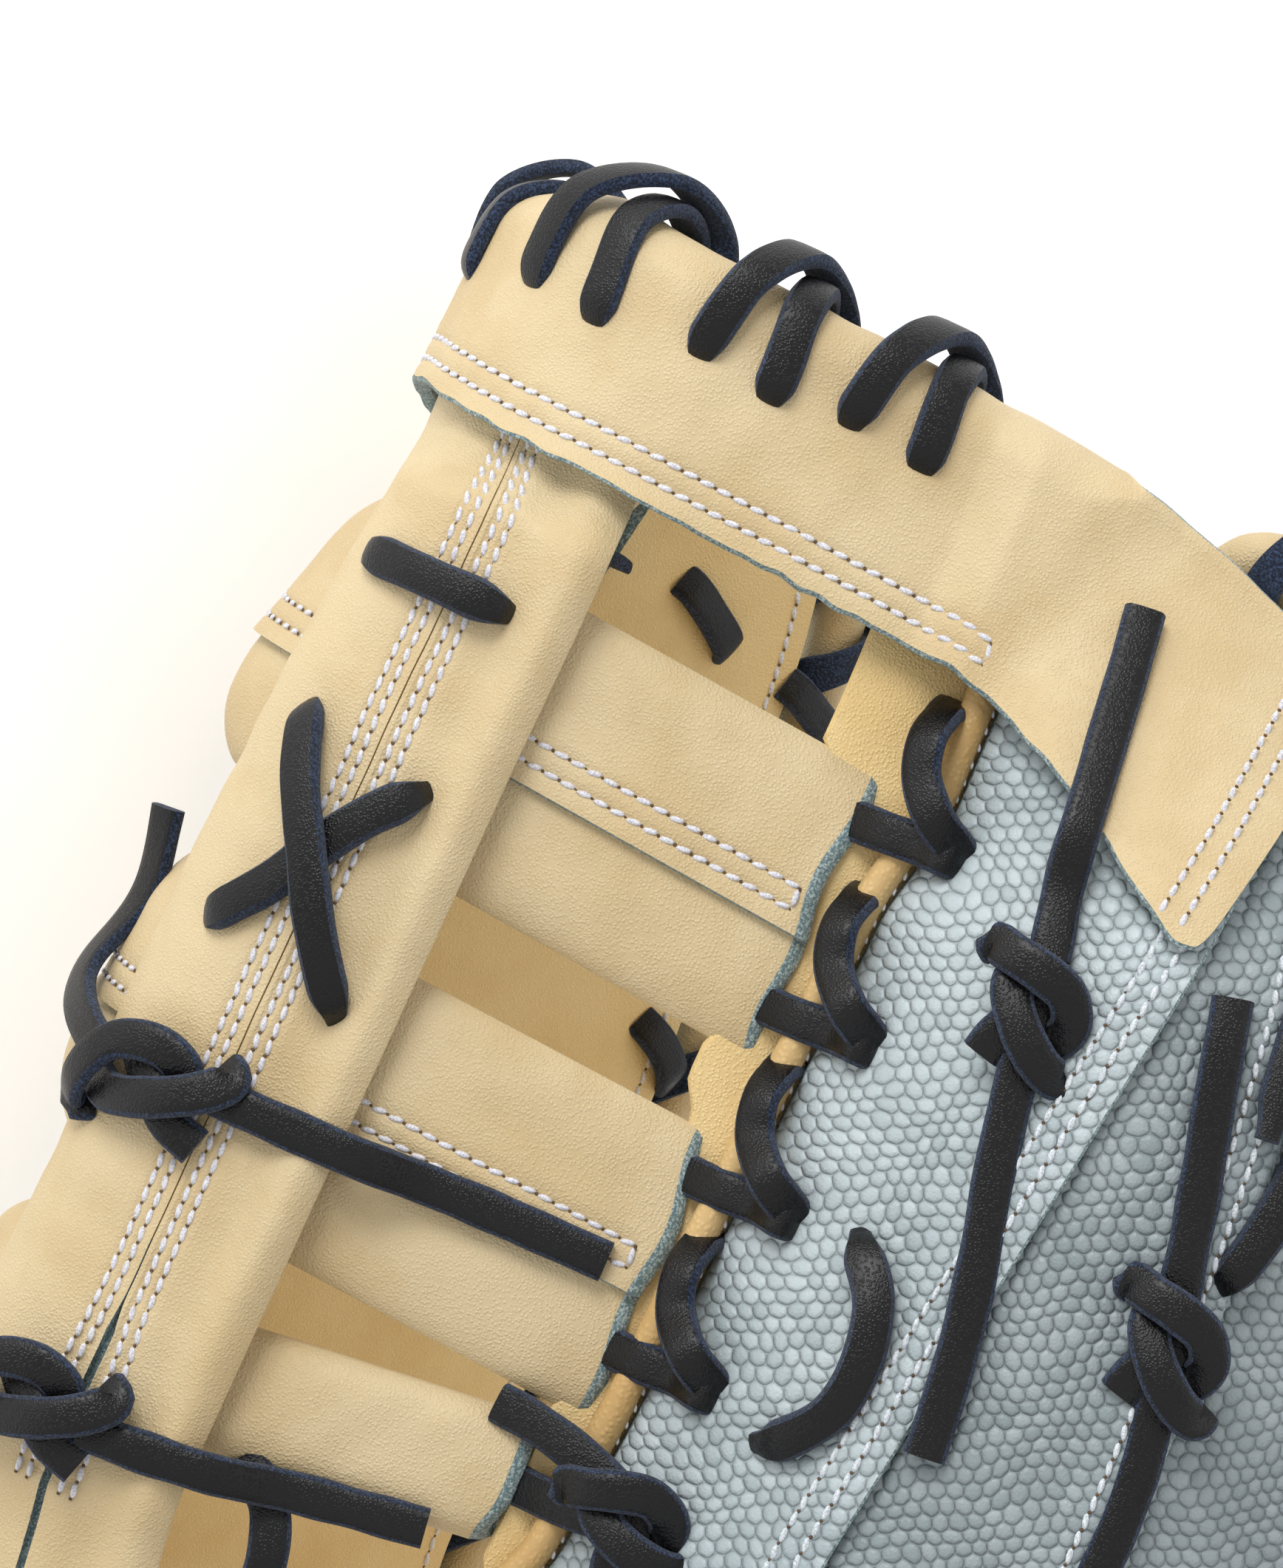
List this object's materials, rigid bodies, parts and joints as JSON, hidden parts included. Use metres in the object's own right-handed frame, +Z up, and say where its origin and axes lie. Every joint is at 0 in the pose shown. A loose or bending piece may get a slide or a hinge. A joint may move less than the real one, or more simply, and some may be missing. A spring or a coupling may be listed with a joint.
{
  "type": "first baseman mitt",
  "caption": "Leather first baseman mitt with a single-post web, folded and lying on its thumb side, laced in flat black rawhide.",
  "frame": {"origin": "middle of the footprint, on the surface that the mitt lies on", "axes": "+Z up; +X from the fingertips to the heel; the web and the back of the hand face -Y and up, the pocket opens to +Y; the thumb side lies below, the finger side above"},
  "size_m": [0.3196, 0.1266, 0.1688],
  "materials": {
    "blond_leather": "smooth blond leather, fine grain, soft sheen",
    "grey_leather": "grey leather embossed with small rounded scales, soft sheen",
    "lace": "black rawhide lace with dark blue raw edges"
  },
  "bodies": {
    "root": {"palm": "blond_leather", "finger_back_index": "grey_leather", "finger_back_middle": "grey_leather", "finger_back_outer": "grey_leather", "thumb_back_inner": "grey_leather", "thumb_back_outer": "grey_leather", "finger_binding": "blond_leather", "thumb_binding": "blond_leather", "thumb_rim_roll": "blond_leather", "thumb_rim_lace": "lace", "heel_rim_roll": "blond_leather", "heel_rim_lace": "lace", "finger_rim_roll": "blond_leather", "finger_rim_lace": "lace", "web_crown": "blond_leather", "web_post": "blond_leather", "web_bar_upper": "blond_leather", "web_bar_lower": "blond_leather", "web_base_bar": "blond_leather", "wrist_strap": "grey_leather", "crown_lace_1": "lace", "crown_lace_2": "lace", "crown_lace_3": "lace", "crown_lace_4": "lace", "crown_lace_5": "lace", "post_cross_lace": "lace", "post_x_lace_under": "lace", "finger_j_lace": "lace", "finger_curved_lace": "lace", "finger_square_end": "lace", "post_x_lace_over": "lace", "finger_web_lace": "lace", "finger_crotch_lace": "lace", "thumb_web_lace": "lace", "thumb_crotch_lace": "lace", "finger_knot_upper": "lace", "finger_knot_lower": "lace", "web_end_knot": "lace", "post_knot": "lace", "base_knot": "lace", "finger_tail_1": "lace", "finger_tail_2": "lace", "finger_tail_3": "lace", "finger_tail_4": "lace", "post_tail_straight": "lace", "post_tail_curled": "lace", "base_tail": "lace"}
  },
  "joints": []
}
